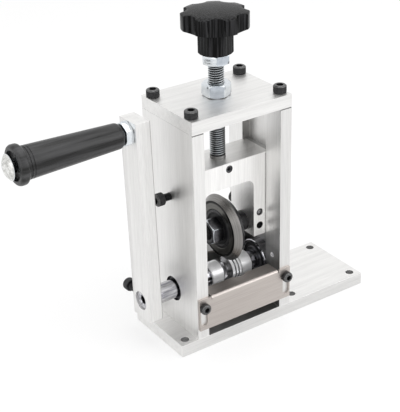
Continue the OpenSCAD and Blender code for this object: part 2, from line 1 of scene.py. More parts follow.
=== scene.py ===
# %% [markdown]
# # A hand crank wire stripper
#
# The tool is a small tower of aluminium plates on a flat base. A crank on the left turns a steel
# roller, and a round blade hangs above it on a block that a big knob raises and lowers.
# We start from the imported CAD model: its nodes carry the exact sizes, and every piece that we
# model here sits on them and moves with one of its bodies.

# %% Load the model
import math
from math import atan2, cos, degrees, hypot, pi, radians, sin, tau

import bpy
from mathutils import Matrix, Vector


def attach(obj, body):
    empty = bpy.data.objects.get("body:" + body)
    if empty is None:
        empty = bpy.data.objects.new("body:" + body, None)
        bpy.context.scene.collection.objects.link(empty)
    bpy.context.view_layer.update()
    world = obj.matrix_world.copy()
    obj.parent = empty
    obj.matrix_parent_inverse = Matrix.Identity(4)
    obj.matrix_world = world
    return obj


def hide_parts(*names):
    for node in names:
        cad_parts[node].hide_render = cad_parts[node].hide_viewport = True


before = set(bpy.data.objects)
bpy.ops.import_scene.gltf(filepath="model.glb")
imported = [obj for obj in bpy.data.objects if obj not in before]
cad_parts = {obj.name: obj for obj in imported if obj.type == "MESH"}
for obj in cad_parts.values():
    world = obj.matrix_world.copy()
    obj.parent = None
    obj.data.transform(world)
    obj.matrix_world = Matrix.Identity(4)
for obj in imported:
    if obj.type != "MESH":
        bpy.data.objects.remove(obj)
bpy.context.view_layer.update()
MM = 0.001

# %% [markdown]
# ## Camera
#
# The camera comes first, so that each piece can be judged from the right place. The view looks
# down by about 27 degrees on the front left corner. A long lens, far away, keeps the plates
# nearly parallel. The frame is a little taller than it is wide, so the sensor size is tied to its
# height.

# %% Camera
camera_data = bpy.data.cameras.new("product_camera")
camera_data.sensor_fit = "VERTICAL"
camera_data.sensor_height = 36
camera_data.lens = 94.9
camera_data.clip_start = 0.05
camera = bpy.data.objects.new("product_camera", camera_data)
bpy.context.scene.collection.objects.link(camera)
camera.location = (-0.4513, -0.6086, 0.4864)
camera.rotation_euler = [radians(a) for a in (62.303, 1.492, -34.297)]
bpy.context.scene.camera = camera
print("camera stands", round(camera.location.length, 2), "m from the base")

# %% [markdown]
# ## Places that many pieces share
#
# All of these are millimetres in the CAD model's frame: the tower stands left of the middle of
# the base, the shaft runs along X, and the user stands at minus Y. TO_CORNER turns half the width
# across the flats of a hexagon into the distance to its corner.

# %% Shared places
TOWER_X = -31
PLATES_X = (TOWER_X - 39, TOWER_X + 39)
LEGS_X = (TOWER_X - 28.25, TOWER_X + 28.25)
HALF_DEPTH = 33
BASE_TOP, SIDES_TOP, TOWER_TOP = 10, 180, 190
SHAFT_Z, HANDLE_Z = 40, 178
BLADE_X, BLADE_Z = -28, 78.5
GUIDE_SCREW_Z, LEG_SCREW_Z, RETAINER_Z = 37.7, 90, 135
CRANK_LEAN = 1.5
TO_CORNER = 1 / cos(pi / 6)
print("the crank's radius is", HANDLE_Z - SHAFT_Z, "mm, and it leans back by", CRANK_LEAN, "degrees")

# %% [markdown]
# ## Selecting and finishing
#
# Blender's operators act on what is selected, so every step begins with a clean selection.
# Finished pieces have their place in their mesh and their object at the origin, like CAD nodes.

# %% Helpers for objects
def clear_selection():
    if bpy.context.object and bpy.context.object.mode != "OBJECT":
        bpy.ops.object.mode_set(mode="OBJECT")
    bpy.ops.object.select_all(action="DESELECT")

def pick(piece):
    clear_selection()
    piece.select_set(True)
    bpy.context.view_layer.objects.active = piece

def open_edit(piece):
    """Opens a piece in edit mode with all of it selected."""
    pick(piece)
    bpy.ops.object.mode_set(mode="EDIT")
    bpy.ops.mesh.select_all(action="SELECT")

def close_edit():
    bpy.ops.object.mode_set(mode="OBJECT")

def settle(piece):
    """Moves the object's place, turn and size into its mesh."""
    pick(piece)
    bpy.ops.object.transform_apply(location=True, rotation=True, scale=True)
    return piece

def turn_settled(piece, angle, axis, centre=(0, 0, 0)):
    """Turns a settled piece by degrees about an axis through a point in millimetres."""
    middle = Vector(centre) * MM
    turn = Matrix.Translation(middle) @ Matrix.Rotation(radians(angle), 4, axis)
    piece.matrix_world = turn @ Matrix.Translation(-middle)
    return settle(piece)

def shift_settled(piece, x, y, z):
    """Moves a settled piece by millimetres."""
    piece.location = (x * MM, y * MM, z * MM)
    return settle(piece)

def copy_of(piece, name):
    clone = piece.copy()
    clone.data = piece.data.copy()
    clone.name = name
    bpy.context.scene.collection.objects.link(clone)
    return clone

def join(pieces):
    """Makes one piece of several, the first of which lends its name."""
    pick(pieces[0])
    for piece in pieces:
        piece.select_set(True)
    bpy.ops.object.join()
    return pieces[0]

# %% [markdown]
# ## Solids from primitives
#
# Most of this tool is milled plate and turned bar. A plate is a cube stretched between two
# corners. A bar is a cylinder between two points. Holes are cylinders taken away with a Boolean
# modifier, as a drill does. The Exact solver is used, because the cuts meet flat faces squarely.

# %% Helpers for milled and turned stock
def plate(name, low, high):
    """A box between two corners in millimetres."""
    clear_selection()
    middle = [(a + b) / 2 * MM for a, b in zip(low, high)]
    bpy.ops.mesh.primitive_cube_add(size=1, location=middle)
    piece = bpy.context.object
    piece.name = name
    piece.scale = [(b - a) * MM for a, b in zip(low, high)]
    return settle(piece)

def bar(name, start, end, radius, sides=64):
    """A cylinder between two points in millimetres."""
    a, b = Vector(start) * MM, Vector(end) * MM
    clear_selection()
    bpy.ops.mesh.primitive_cylinder_add(vertices=sides, radius=radius * MM, depth=(b - a).length)
    piece = bpy.context.object
    piece.name = name
    piece.rotation_mode = "QUATERNION"
    piece.rotation_quaternion = (b - a).to_track_quat("Z", "Y")
    piece.location = (a + b) / 2
    settle(piece)
    piece.rotation_mode = "XYZ"
    return piece

def apply_modifier(piece, kind, **settings):
    pick(piece)
    modifier = piece.modifiers.new(kind.lower(), kind)
    for setting, value in settings.items():
        setattr(modifier, setting, value)
    bpy.ops.object.modifier_apply(modifier=modifier.name)

def combine(piece, other, operation="DIFFERENCE"):
    """Cuts, joins or intersects two solids, and keeps the first."""
    apply_modifier(piece, "BOOLEAN", operation=operation, solver="EXACT", object=other)
    bpy.data.objects.remove(other, do_unlink=True)

def drill(piece, start, end, radius, sides=64):
    combine(piece, bar("drill", start, end, radius, sides))

def drill_down(piece, x, y, low, high, radius, sides=48):
    drill(piece, (x, y, low), (x, y, high), radius, sides)

def smooth(piece, angle=32):
    pick(piece)
    bpy.ops.object.shade_smooth_by_angle(angle=radians(angle))

def break_edges(piece, width=0.35, segments=1, angle=32):
    """A narrow chamfer along every sharp edge. One step keeps flat faces flat."""
    apply_modifier(piece, "BEVEL", width=width * MM, segments=segments, limit_method="ANGLE",
                   angle_limit=radians(angle))
    smooth(piece)

def recalculate(piece):
    """Merges doubled corners and turns all faces outwards."""
    open_edit(piece)
    bpy.ops.mesh.remove_doubles(threshold=0.0005 * MM)
    bpy.ops.mesh.normals_make_consistent(inside=False)
    close_edit()
    return piece

# %% [markdown]
# ## Profiles, turned parts and threads
#
# A lathe turns a profile, and so do we. A profile is drawn vertex by vertex with Extrude, from a
# plane that is merged into one point, and Spin carries it round the axis. For a thread the Screw
# modifier turns a profile of one pitch, and Bisect trims the ends flat. The thread starts a hair
# lower than two full turns below the end, so that no row of corners lies exactly in the cut.

# %% Helpers for turned parts and threads
def draw_line(name, points):
    """An open line through (x, z) points in millimetres, in the XZ plane."""
    clear_selection()
    bpy.ops.mesh.primitive_plane_add(size=MM)
    piece = bpy.context.object
    piece.name = name
    open_edit(piece)
    bpy.ops.mesh.merge(type="CENTER")
    x, z = points[0]
    bpy.ops.transform.translate(value=(x * MM, 0, z * MM))
    for (x0, z0), (x1, z1) in zip(points, points[1:]):
        step = ((x1 - x0) * MM, 0, (z1 - z0) * MM)
        bpy.ops.mesh.extrude_region_move(TRANSFORM_OT_translate={"value": step})
    close_edit()
    return piece

def turned(name, points, steps=64):
    """A solid turned about Z from (radius, z) points in millimetres."""
    piece = draw_line(name, points)
    open_edit(piece)
    bpy.ops.mesh.spin(steps=steps, angle=tau, center=(0, 0, 0), axis=(0, 0, 1))
    close_edit()
    return recalculate(piece)

def trim(piece, height, keep):
    """Cuts a piece flat across Z at a height in millimetres and closes the cut."""
    open_edit(piece)
    bpy.ops.mesh.bisect(plane_co=(0, 0, height * MM), plane_no=(0, 0, 1), use_fill=True,
                        threshold=1e-7, clear_inner=keep == "above", clear_outer=keep == "below")
    close_edit()

def cut_teeth(piece, columns, radius, low, high, factor):
    """Draws every second column of a turned side inwards, between two heights in millimetres."""
    open_edit(piece)
    bpy.ops.mesh.select_mode(type="VERT")
    bpy.ops.mesh.select_all(action="DESELECT")
    close_edit()
    for vertex in piece.data.vertices:
        x, y, z = vertex.co / MM
        column = round(atan2(y, x) / tau * columns)
        vertex.select = hypot(x, y) > radius and low < z < high and column % 2 == 1
    bpy.ops.object.mode_set(mode="EDIT")
    bpy.ops.transform.resize(value=(factor, factor, 1), center_override=(0, 0, 0))
    close_edit()

def threaded_rod(name, radius, pitch, bottom, top, steps=32):
    """A right-hand thread about Z between two heights in millimetres."""
    root = radius - 0.6 * pitch
    land = 0.12 * pitch
    rise = (pitch - 2 * land) / 2
    start = bottom - 2.015 * pitch
    profile = [(root, start), (root, start + land), (radius, start + land + rise),
               (radius, start + 2 * land + rise), (root, start + pitch)]
    turns = math.ceil((top - bottom) / pitch) + 4
    piece = draw_line(name, profile)
    apply_modifier(piece, "SCREW", axis="Z", angle=tau, screw_offset=pitch * MM, steps=steps,
                   render_steps=steps, iterations=turns, use_merge_vertices=False)
    recalculate(piece)
    trim(piece, bottom, "above")
    trim(piece, top, "below")
    return recalculate(piece)

# %% [markdown]
# ## Materials
#
# Every finish is made of nodes. Patterns are placed with Object coordinates, which are metres on
# the real part, so a scratch keeps its true size. One helper fills a node's inputs: a number or
# colour is written in, and an output of another node is wired up.

# %% Helpers for nodes
def fill(tree, node, inputs):
    for socket, value in inputs.items():
        if isinstance(value, bpy.types.NodeSocket):
            tree.links.new(value, node.inputs[socket])
        else:
            node.inputs[socket].default_value = value
    return node

def add_node(tree, kind, inputs, operation=None):
    node = tree.nodes.new("ShaderNode" + kind)
    if operation:
        node.operation = operation
    return fill(tree, node, inputs)

def fill_shader(material, inputs):
    fill(material.node_tree, material.node_tree.nodes["Principled BSDF"], inputs)

def object_place(tree):
    return add_node(tree, "TexCoord", {}).outputs["Object"]

def map_range(tree, value, low, high, start=0, end=1):
    """Runs from start to end while a value goes from low to high."""
    ends = {"From Min": low, "From Max": high, "To Min": start, "To Max": end}
    return add_node(tree, "MapRange", {"Value": value, **ends}).outputs["Result"]

def colour_ramp(tree, pattern, dark, light, low=0, high=1):
    ramp = add_node(tree, "ValToRGB", {"Fac": pattern})
    for end, place, colour in zip(ramp.color_ramp.elements, (low, high), (dark, light)):
        end.position = place
        end.color = (*colour, 1)
    return ramp.outputs["Color"]

def distance_from_axis(tree, centre, across):
    """Metres from an axis through a point in millimetres. across is 1 on the two other axes."""
    middle = [-v * MM for v in centre]
    shift = add_node(tree, "Mapping", {"Vector": object_place(tree), "Location": middle})
    flat = add_node(tree, "VectorMath", {0: shift.outputs["Vector"], 1: across}, "MULTIPLY")
    return add_node(tree, "VectorMath", {0: flat.outputs["Vector"]}, "LENGTH").outputs["Value"]

# %% [markdown]
# ### Patterns
#
# All finishes need noise. It is stretched to make lines, and it drives the colour, the
# roughness and a fine bump.

# %% Helpers for finishes
def finish(name, metallic, shine=0.5):
    material = bpy.data.materials.new(name)
    material.use_nodes = True
    fill_shader(material, {"Metallic": metallic, "Specular IOR Level": shine})
    return material

def noise(material, per_metre, detail=3, grain=0.5):
    """Noise whose spots are 1 / per_metre long, on all axes alike or on each."""
    tree = material.node_tree
    if isinstance(per_metre, int):
        per_metre = [per_metre] * 3
    stretch = add_node(tree, "Mapping", {"Vector": object_place(tree), "Scale": per_metre})
    values = {"Vector": stretch.outputs["Vector"], "Scale": 1, "Detail": detail, "Roughness": grain}
    return add_node(tree, "TexNoise", values).outputs["Fac"]

def blend_values(material, first, second, share):
    """Mixes two patterns, with a share of the second."""
    mix = add_node(material.node_tree, "Mix", {"Factor": share, "A": first, "B": second})
    return mix.outputs["Result"]

def vary_colour(material, pattern, dark, light, low, high):
    colour = colour_ramp(material.node_tree, pattern, dark, light, low, high)
    fill_shader(material, {"Base Color": colour})

def vary_roughness(material, pattern, low, high):
    fill_shader(material, {"Roughness": map_range(material.node_tree, pattern, 0.3, 0.7, low, high)})

def add_bump(material, pattern, depth_mm, strength):
    values = {"Strength": strength, "Distance": depth_mm * MM, "Height": pattern}
    bump = add_node(material.node_tree, "Bump", values)
    fill_shader(material, {"Normal": bump.outputs["Normal"]})

def clouded(name, metallic, spots, dark, light, dull, bump, span=(0.3, 0.7), detail=4, grain=0.6,
            strength=0.5, shine=0.5, skin=None):
    """A finish whose pattern varies colour and roughness. skin is a finer pattern for the bump."""
    material = finish(name, metallic, shine)
    cloud = noise(material, spots, detail, grain)
    vary_colour(material, cloud, dark, light, *span)
    vary_roughness(material, cloud, *dull)
    add_bump(material, noise(material, *skin) if skin else cloud, bump, strength)
    print("finish:", name)
    return material

# %% [markdown]
# ### Brushed aluminium
#
# The plates are sawn from flat bar, so fine lines run along each one. Stretched noise gives
# them: spots a third of a millimetre wide and two centimetres long. A second, wider pattern
# makes soft bands. The lines follow the length of the bar, so there is a finish for each
# direction. The block's finish is painted brighter, as painted light, and sawn edges are duller.
# Two darker copies are painted shade in the corners of the ways and between parts, and the inner
# faces are painted darker low down, as a painted reflection of the dark inside of the tower.

# %% Brushed aluminium
def darken_below(material, low, high, tone):
    """Multiplies the colour by tone under a height in millimetres, and by one over a second."""
    tree = material.node_tree
    clean = tree.nodes["Principled BSDF"].inputs["Base Color"].links[0].from_socket
    height = add_node(tree, "SeparateXYZ", {"Vector": object_place(tree)}).outputs["Z"]
    share = map_range(tree, height, low * MM, high * MM, tone)
    scaled = add_node(tree, "VectorMath", {0: clean, "Scale": share}, "SCALE")
    fill_shader(material, {"Base Color": scaled.outputs["Vector"]})

def brushed_aluminium(name, along, tone=1, low_shade=None):
    """along is the axis of the lines. The last argument gives the heights where painted shade fades out,
    and how dark it is.
    """
    def toned(*colour):
        return [v * tone for v in colour]
    material = finish(name, 1)
    fine, wide = [3200] * 3, [260] * 3
    fine[along], wide[along] = 45, 9
    lines = noise(material, fine, 4, 0.6)
    both = blend_values(material, lines, noise(material, wide), 0.35)
    vary_colour(material, both, toned(0.74, 0.735, 0.725), toned(0.87, 0.865, 0.855), 0.38, 0.6)
    vary_roughness(material, both, 0.36, 0.52)
    add_bump(material, lines, 0.006, 0.6)
    if low_shade:
        darken_below(material, *low_shade)
    print("aluminium finish:", name)
    return material

ALONG_X, ALONG_Z = 0, 2
aluminium_x = brushed_aluminium("brushed_aluminium_x", ALONG_X)
aluminium_z = brushed_aluminium("brushed_aluminium_z", ALONG_Z)
sawn_aluminium_x = brushed_aluminium("sawn_aluminium_x", ALONG_X, 0.9)
sawn_aluminium_z = brushed_aluminium("sawn_aluminium_z", ALONG_Z, 0.9)
# Painted light: the block's finish is brighter.
painted_bright_aluminium = brushed_aluminium("painted_bright_aluminium", ALONG_Z, 1.14)
# Painted shade: a darker copy for corners, fine lines and the floor between the plates.
painted_shade_aluminium = brushed_aluminium("painted_shade_aluminium", ALONG_Z, 0.55)
# Deeper painted shade: seams, the inside of the guides, under the lock nut and at the foot of the adjusting
# screw.
deep_painted_shade = brushed_aluminium("deep_painted_shade", ALONG_Z, 0.32)
# Painted reflection: the inner faces are darker below 76 mm, where they mirror the dark inside.
inner_aluminium_with_painted_shade = brushed_aluminium("inner_aluminium_with_painted_shade", ALONG_Z, 1.05, (60, 76, 0.4))

# %% [markdown]
# ### Steels
#
# Zinc plate is bright with a cold blue tint and slightly cloudy. The shaft is ground and
# polished. The screws are black oxide: dark, a little oily, and greyer where they are handled.
# The guide plates are nickelled sheet with a warm, almost pink tone. Drilled walls are rough.

# %% Steels
zinc = clouded(
    "bright_zinc", 1, 300, (0.62, 0.66, 0.7), (0.8, 0.83, 0.85), dull=(0.1, 0.24), bump=0.002, detail=3,
    grain=0.5, strength=0.3, skin=(1500, 2))
# A darker zinc, as painted shade on every second flat of two nuts.
painted_shade_zinc = clouded(
    "painted_shade_zinc", 1, 300, (0.44, 0.48, 0.53), (0.56, 0.6, 0.65), dull=(0.12, 0.26), bump=0.002,
    detail=3, grain=0.5, strength=0.3)
worn_zinc = clouded(
    "worn_zinc", 1, 420, (0.5, 0.5, 0.48), (0.86, 0.86, 0.84), dull=(0.2, 0.42), bump=0.006,
    span=(0.36, 0.64), detail=5)
polished = clouded(
    "polished_steel", 1, (60, 420, 420), (0.28, 0.28, 0.31), (0.72, 0.72, 0.74), dull=(0.12, 0.26),
    bump=0.003, span=(0.36, 0.66), detail=3, skin=((3600, 140, 140), 4))
# Near white satin steel: on the roller's plain bands it is partly painted light, and elsewhere it paints
# highlights.
satin_steel_and_painted_light = clouded(
    "satin_steel_and_painted_light", 0.25, (3200, 90, 90), (0.88, 0.88, 0.89), (0.97, 0.97, 0.98), dull=(0.26, 0.38),
    bump=0.004, span=(0.35, 0.65))
# Dark steel for the retainer, and also painted shade in holes, on bearing rings and on the far bevel of the
# blade, and a painted reflection on the axle nut.
dark_steel_and_painted_shade = clouded(
    "dark_steel_and_painted_shade", 1, 900, (0.06, 0.06, 0.065), (0.15, 0.15, 0.16), dull=(0.28, 0.46), bump=0.004,
    detail=5, strength=0.4)
toothed_steel = clouded(
    "toothed_steel", 1, 1100, (0.12, 0.12, 0.13), (0.42, 0.42, 0.43), dull=(0.24, 0.4), bump=0.006)
drilled = clouded(
    "drilled_metal", 1, (700, 700, 2600), (0.32, 0.32, 0.32), (0.7, 0.7, 0.7), dull=(0.42, 0.6),
    bump=0.01)
nickel = clouded(
    "nickel_sheet", 1, (28, 1800, 1800), (0.48, 0.435, 0.41), (0.56, 0.52, 0.49), dull=(0.34, 0.5),
    bump=0.004, span=(0.36, 0.64))
# Black oxide for the screws, the axle and the spacer, and painted shade on the blade bearing's outer ring
# and the adjusting screw's neck.
black_oxide = clouded(
    "black_oxide", 0.2, 700, (0.006, 0.006, 0.007), (0.03, 0.03, 0.032), dull=(0.22, 0.42), bump=0.006,
    span=(0.35, 0.72), detail=6, grain=0.7, shine=0.4, skin=(4000, 2))
worn_oxide = clouded(
    "worn_oxide", 0.8, 1300, (0.04, 0.04, 0.042), (0.2, 0.2, 0.2), dull=(0.28, 0.46), bump=0.006,
    span=(0.32, 0.68), detail=5, grain=0.7)

# %% [markdown]
# ### Rubber and plastic
#
# The grip is satin rubber with a fine even skin. The knob is moulded plastic with a faint
# sparkle of glass fibre. The bearing seals are dull black rubber.

# %% Rubber and plastic
rubber = clouded(
    "grip_rubber", 0, (9, 230, 230), (0.009, 0.009, 0.009), (0.06, 0.06, 0.062), dull=(0.24, 0.46),
    bump=0.02, span=(0.36, 0.68), detail=3, strength=0.4, shine=0.3, skin=(900, 5, 0.6))
knob_plastic = clouded(
    "knob_plastic", 0, (700, 700, 25), (0.004, 0.004, 0.004), (0.034, 0.034, 0.036), dull=(0.16, 0.38),
    bump=0.01, span=(0.44, 0.66), detail=3, strength=0.4, shine=0.06, skin=(1500, 4, 0.7))
seal_rubber = finish("seal_rubber", 0, 0.25)
fill_shader(seal_rubber, {"Base Color": (0.006, 0.006, 0.007, 1)})
vary_roughness(seal_rubber, noise(seal_rubber, 800), 0.42, 0.6)
add_bump(seal_rubber, noise(seal_rubber, 1800), 0.01, 0.4)
print("finish:", seal_rubber.name)

# %% [markdown]
# ### The blade
#
# The blade is a hardened disc. Its two bevels are ground bright and its faces keep a dark
# skin. The distance from the blade's own axis makes the grinding rings and chooses between the
# two. Just inside the bevel a narrow ring is black. The far bevel is painted dark, as painted
# shade.

# %% Blade finish
def blend_colours(tree, first, second, share):
    mix = tree.nodes.new("ShaderNodeMix")
    mix.data_type = "RGBA"
    return fill(tree, mix, {0: share, 6: first, 7: second}).outputs[2]

def blade_finish():
    material = finish("ground_blade", 1)
    tree = material.node_tree
    reach = distance_from_axis(tree, (BLADE_X, 0, BLADE_Z), (0, 1, 1))
    rings = tree.nodes.new("ShaderNodeTexNoise")
    rings.noise_dimensions = "1D"
    pattern = fill(tree, rings, {"W": reach, "Scale": 2600, "Detail": 4}).outputs["Fac"]
    skin = colour_ramp(tree, pattern, (0.04, 0.04, 0.038), (0.22, 0.215, 0.2))
    bevel = colour_ramp(tree, pattern, (0.12, 0.115, 0.11), (0.36, 0.35, 0.34))
    black_share = map_range(tree, reach, 20.5 * MM, 21.1 * MM)
    bevel_share = map_range(tree, reach, 22.7 * MM, 22.9 * MM)
    face = blend_colours(tree, skin, (0.006, 0.006, 0.006, 1), black_share)
    fill_shader(material, {"Base Color": blend_colours(tree, face, bevel, bevel_share)})
    vary_roughness(material, pattern, 0.24, 0.42)
    add_bump(material, pattern, 0.006, 0.5)
    return material

ground_steel = blade_finish()
print("blade finish:", ground_steel.name)

# %% [markdown]
# ## Giving a piece its place
#
# Every finished piece gets its name and a finish, rides on a CAD body, and says which CAD node it
# stands for. One helper does it all.
# Some faces look different from the rest, such as the wall of a drilled hole. They are found by
# where their middle lies, and get a second material.

# %% Dress a piece and paint some of its faces
def dress(piece, material, body, node, name=None):
    """Names and finishes a piece. A piece that already has its finishes passes None."""
    piece.name = name or node + "_detailed"
    if material:
        piece.data.materials.clear()
        piece.data.materials.append(material)
    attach(piece, body)
    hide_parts(node)
    print(piece.name, "has", len(piece.data.polygons), "faces and moves with", body)

def paint(piece, material, chosen):
    """Gives another finish to the faces whose middle, in millimetres, passes a test."""
    piece.data.materials.append(material)
    index = len(piece.data.materials) - 1
    count = 0
    for face in piece.data.polygons:
        if chosen(*(face.center / MM)):
            face.material_index = index
            count += 1
    print(material.name, "covers", count, "faces of", piece.name)

# %% [markdown]
# ## Socket head cap screws
#
# Cap screws hold the tool together. The head has a narrow chamfer on top, a hexagon socket and
# fine teeth round its side for the fingers. It is turned first, and then every second column of
# its side is drawn inwards to make the teeth. The shank gets a true helical thread.

# %% Cap screw
def cap_screw(name, length, thread_d=6, pitch=1, head_d=10, head_h=6, key=5, teeth=30, recess=0):
    """A cap screw with its head on z = 0 and its shank pointing down, in millimetres."""
    r = head_d / 2
    line = [(0, 0), (r - 0.5, 0), (r, 0.5), (r, head_h - 0.9), (r - 0.25, head_h - 0.45),
            (r - 0.9, head_h), (0, head_h)]
    head = turned(name, line, 2 * teeth)
    cut_teeth(head, 2 * teeth, r - 0.3, -1, head_h + 1, 0.955)
    drill_down(head, 0, 0, head_h - 3, head_h + 1, key / 2 * TO_CORNER, 6)
    smooth(recalculate(head), 25)
    shank = threaded_rod(name + "_shank", thread_d / 2 - 0.05, pitch, -length, 0, 24)
    smooth(shank, 50)
    if recess:
        drill_down(shank, 0, 0, -length - 1, -length + 0.35, recess, 32)
    screw = join([head, shank])
    screw.data.materials.append(black_oxide)
    paint(screw, worn_oxide, lambda x, y, z: z > head_h - 0.85 and hypot(x, y) > key / 2 + 0.5)
    return screw

main_screw = cap_screw("main_screw", 20)
guide_screw = cap_screw("guide_screw", 12, 5, 0.8, 8.5, 4, 4, 26)
print("cap screws:", main_screw.name, guide_screw.name)

# %% [markdown]
# ### Where the cap screws go
#
# Screws that the CAD model keeps in one node are joined into one piece. Each length is made
# anew, because scaling a copy would stretch its head. The tips of the leg screws show in the
# front of the block. They have a small recess with a bright floor.

# %% Place the cap screws
def place_screws(model, places, turn=0):
    """Copies of a screw, turned about X by degrees, moved and joined into one piece."""
    copies = [shift_settled(turn_settled(copy_of(model, "copy"), turn, "X"), *p) for p in places]
    bpy.data.objects.remove(model, do_unlink=True)
    return join(copies)

screws = place_screws(main_screw, [(x, y, TOWER_TOP) for x in PLATES_X for y in (-25, 25)])
dress(screws, None, "frame", "top_plate_screws", "top_plate_cap_screws")
places = [(x, y, 6.5) for x in PLATES_X for y in (-20, 20)]
screws = place_screws(cap_screw("base_model", 16), places, 180)
dress(screws, None, "frame", "base_screws", "base_cap_screws")
for side, model, node in ((-1, copy_of(guide_screw, "front_model"), "front_guide_screws"),
                          (1, guide_screw, "rear_guide_screws")):
    screws = place_screws(model, [(x, side * 34.7, GUIDE_SCREW_Z) for x in PLATES_X], -90 * side)
    dress(screws, None, "frame", node)

places = [(x, 14.85, LEG_SCREW_Z) for x in LEGS_X]
screws = place_screws(cap_screw("leg_model", 29.2, recess=1.7), places, -90)
dress(screws, None, "slide", "leg_screws", "leg_cap_screws")
paint(screws, toothed_steel, lambda x, y, z: -14.1 < y < -13.9 and abs(z - LEG_SCREW_Z) < 0.5)

screw = turn_settled(cap_screw("lock_model", 9), -90, "Y")
shift_settled(screw, -81, 0, 120)
dress(screw, None, "lock_screw", "block_lock_screw", "block_lock_cap_screw")

def on_crank(piece):
    """Leans a settled piece back about the shaft, as the whole crank does."""
    return turn_settled(piece, -CRANK_LEAN, "X", (0, 0, SHAFT_Z))

screw = turn_settled(cap_screw("arm_model", 16), -90, "X")
shift_settled(screw, -98.7, 23.5, SHAFT_Z)
dress(on_crank(screw), None, "crank", "arm_clamp_screw", "arm_clamp_cap_screw")

# %% [markdown]
# ## The base plate
#
# The base has four corner holes, two spare holes in the middle and four counterbored holes from
# below that hold the tower. Drilled walls are rougher and look darker than the faces, so they get
# a finish of their own. A very shallow pocket between the side plates is painted dark, as painted
# shade under the tower.

# %% Base plate
base = plate("base_plate", (-90, -HALF_DEPTH, 0), (90, HALF_DEPTH, BASE_TOP))
base_holes = [(x, y) for x in (-83, 83) for y in (-26, 26)] + [(23, -23.3), (23, 23.3)]
for x, y in base_holes:
    drill_down(base, x, y, -1, 11, 3.3)
for x in PLATES_X:
    for y in (-20, 20):
        drill_down(base, x, y, -1, 11, 3)
        drill_down(base, x, y, -1, 6.5, 5.3)
break_edges(base, 0.4)
combine(base, plate("painted_shade_pocket", (-64.9, -32.5, 9.85), (2.9, 32.5, 11)))
dress(base, aluminium_x, "frame", "base_plate")
paint(base, sawn_aluminium_x, lambda x, y, z: abs(y) > HALF_DEPTH - 0.3)
# Painted shade on the pocket's floor.
paint(base, painted_shade_aluminium, lambda x, y, z: 9.8 < z < 9.9 and -65 < x < 3)
paint(base, drilled, lambda x, y, z: 0.5 < z < 9.5
      and any(hypot(x - a, y - b) < 3.32 for a, b in base_holes))

# %% [markdown]
# ## The tower
#
# The two side plates are mirror images in most things: a wide groove down the inner face guides
# the block, and a pocket low down holds the bearing. The left one has a tapped hole for the lock
# screw, and the right one a small blind hole inside. The top plate closes the tower. The fine step
# where it meets the side plates and the rear walls of the ways are painted dark, as painted shade.

# %% Side plates and top plate
def side_plate(name, x_in, x_out):
    """A side plate between its inner and its outer face, in millimetres."""
    way = 1 if x_in > x_out else -1
    middle = (x_in + x_out) / 2
    left, right = sorted((x_in, x_out))
    piece = plate(name, (left, -HALF_DEPTH, BASE_TOP), (right, HALF_DEPTH, SIDES_TOP))
    groove_left, groove_right = sorted((x_in - 7 * way, x_in + way))
    combine(piece, plate("groove", (groove_left, -15, 9), (groove_right, 15, 181)))
    drill(piece, (x_in + way, 0, SHAFT_Z), (x_in - 8 * way, 0, SHAFT_Z), 16.02, 96)
    drill(piece, (x_in + way, 0, SHAFT_Z), (x_out - way, 0, SHAFT_Z), 10, 72)
    for y in (-25, 25):
        drill_down(piece, middle, y, 168, 181, 3, 32)
    for y in (-20, 20):
        drill_down(piece, middle, y, 9, 24.5, 3, 32)
    for side in (-1, 1):
        drill(piece, (middle, 34 * side, GUIDE_SCREW_Z), (middle, 21 * side, GUIDE_SCREW_Z), 2.5, 32)
        combine(piece, plate("seam", (left - 1, 33.5 * side - 1, 179.2), (right + 1, 33.5 * side + 1, 181)))
    combine(piece, plate("seam", (x_out - way - 0.5, -34, 179.2), (x_out - way + 0.5, 34, 181)))
    return piece

def aside(x):
    """The distance from the tower's middle, which is the same on both sides."""
    return abs(x - TOWER_X)

left_plate = side_plate("left_side_plate", -65, -75)
drill(left_plate, (-76, 0, 120), (-64, 0, 120), 3, 48)
right_plate = side_plate("right_side_plate", 3, 13)
drill(right_plate, (2, -23.4, 53.7), (9, -23.4, 53.7), 2, 32)
for piece, node in ((left_plate, "left_side_plate"), (right_plate, "right_side_plate")):
    break_edges(piece)
    dress(piece, aluminium_z, "frame", node)
    # Painted shade on the walls of the shaft hole and the bearing pocket.
    paint(piece, dark_steel_and_painted_shade, lambda x, y, z: hypot(y, z - SHAFT_Z) < 10.02 and 34.4 < aside(x) < 43.6)
    # The inner face and the groove floor are painted darker low down, as a painted reflection.
    paint(piece, inner_aluminium_with_painted_shade, lambda x, y, z: min(abs(aside(x) - v) for v in (34, 41)) < 0.02)
    # Painted shade on the rear walls of the ways.
    paint(piece, painted_shade_aluminium, lambda x, y, z: abs(y - 15) < 0.05 and 34.4 < aside(x) < 40.9)
    # Painted shade in the step under the top plate.
    paint(piece, deep_painted_shade, lambda x, y, z: z > 179.1 and (abs(y) > 32.4 or aside(x) > 43.7))
# Painted highlight on the wall of the small blind hole.
paint(right_plate, satin_steel_and_painted_light, lambda x, y, z: hypot(y + 23.4, z - 53.7) < 2.02 and 3.4 < x < 12.6)
paint(right_plate, sawn_aluminium_z, lambda x, y, z: abs(y) > HALF_DEPTH - 0.1 and z < 179)

top_plate = plate("top_plate", (-75, -HALF_DEPTH, SIDES_TOP), (13, HALF_DEPTH, TOWER_TOP))
drill_down(top_plate, TOWER_X, 0, 179, 191, 6.02, 64)
for x in PLATES_X:
    for y in (-25, 25):
        drill_down(top_plate, x, y, 179, 191, 3.3)
break_edges(top_plate)
dress(top_plate, aluminium_x, "frame", "top_plate")

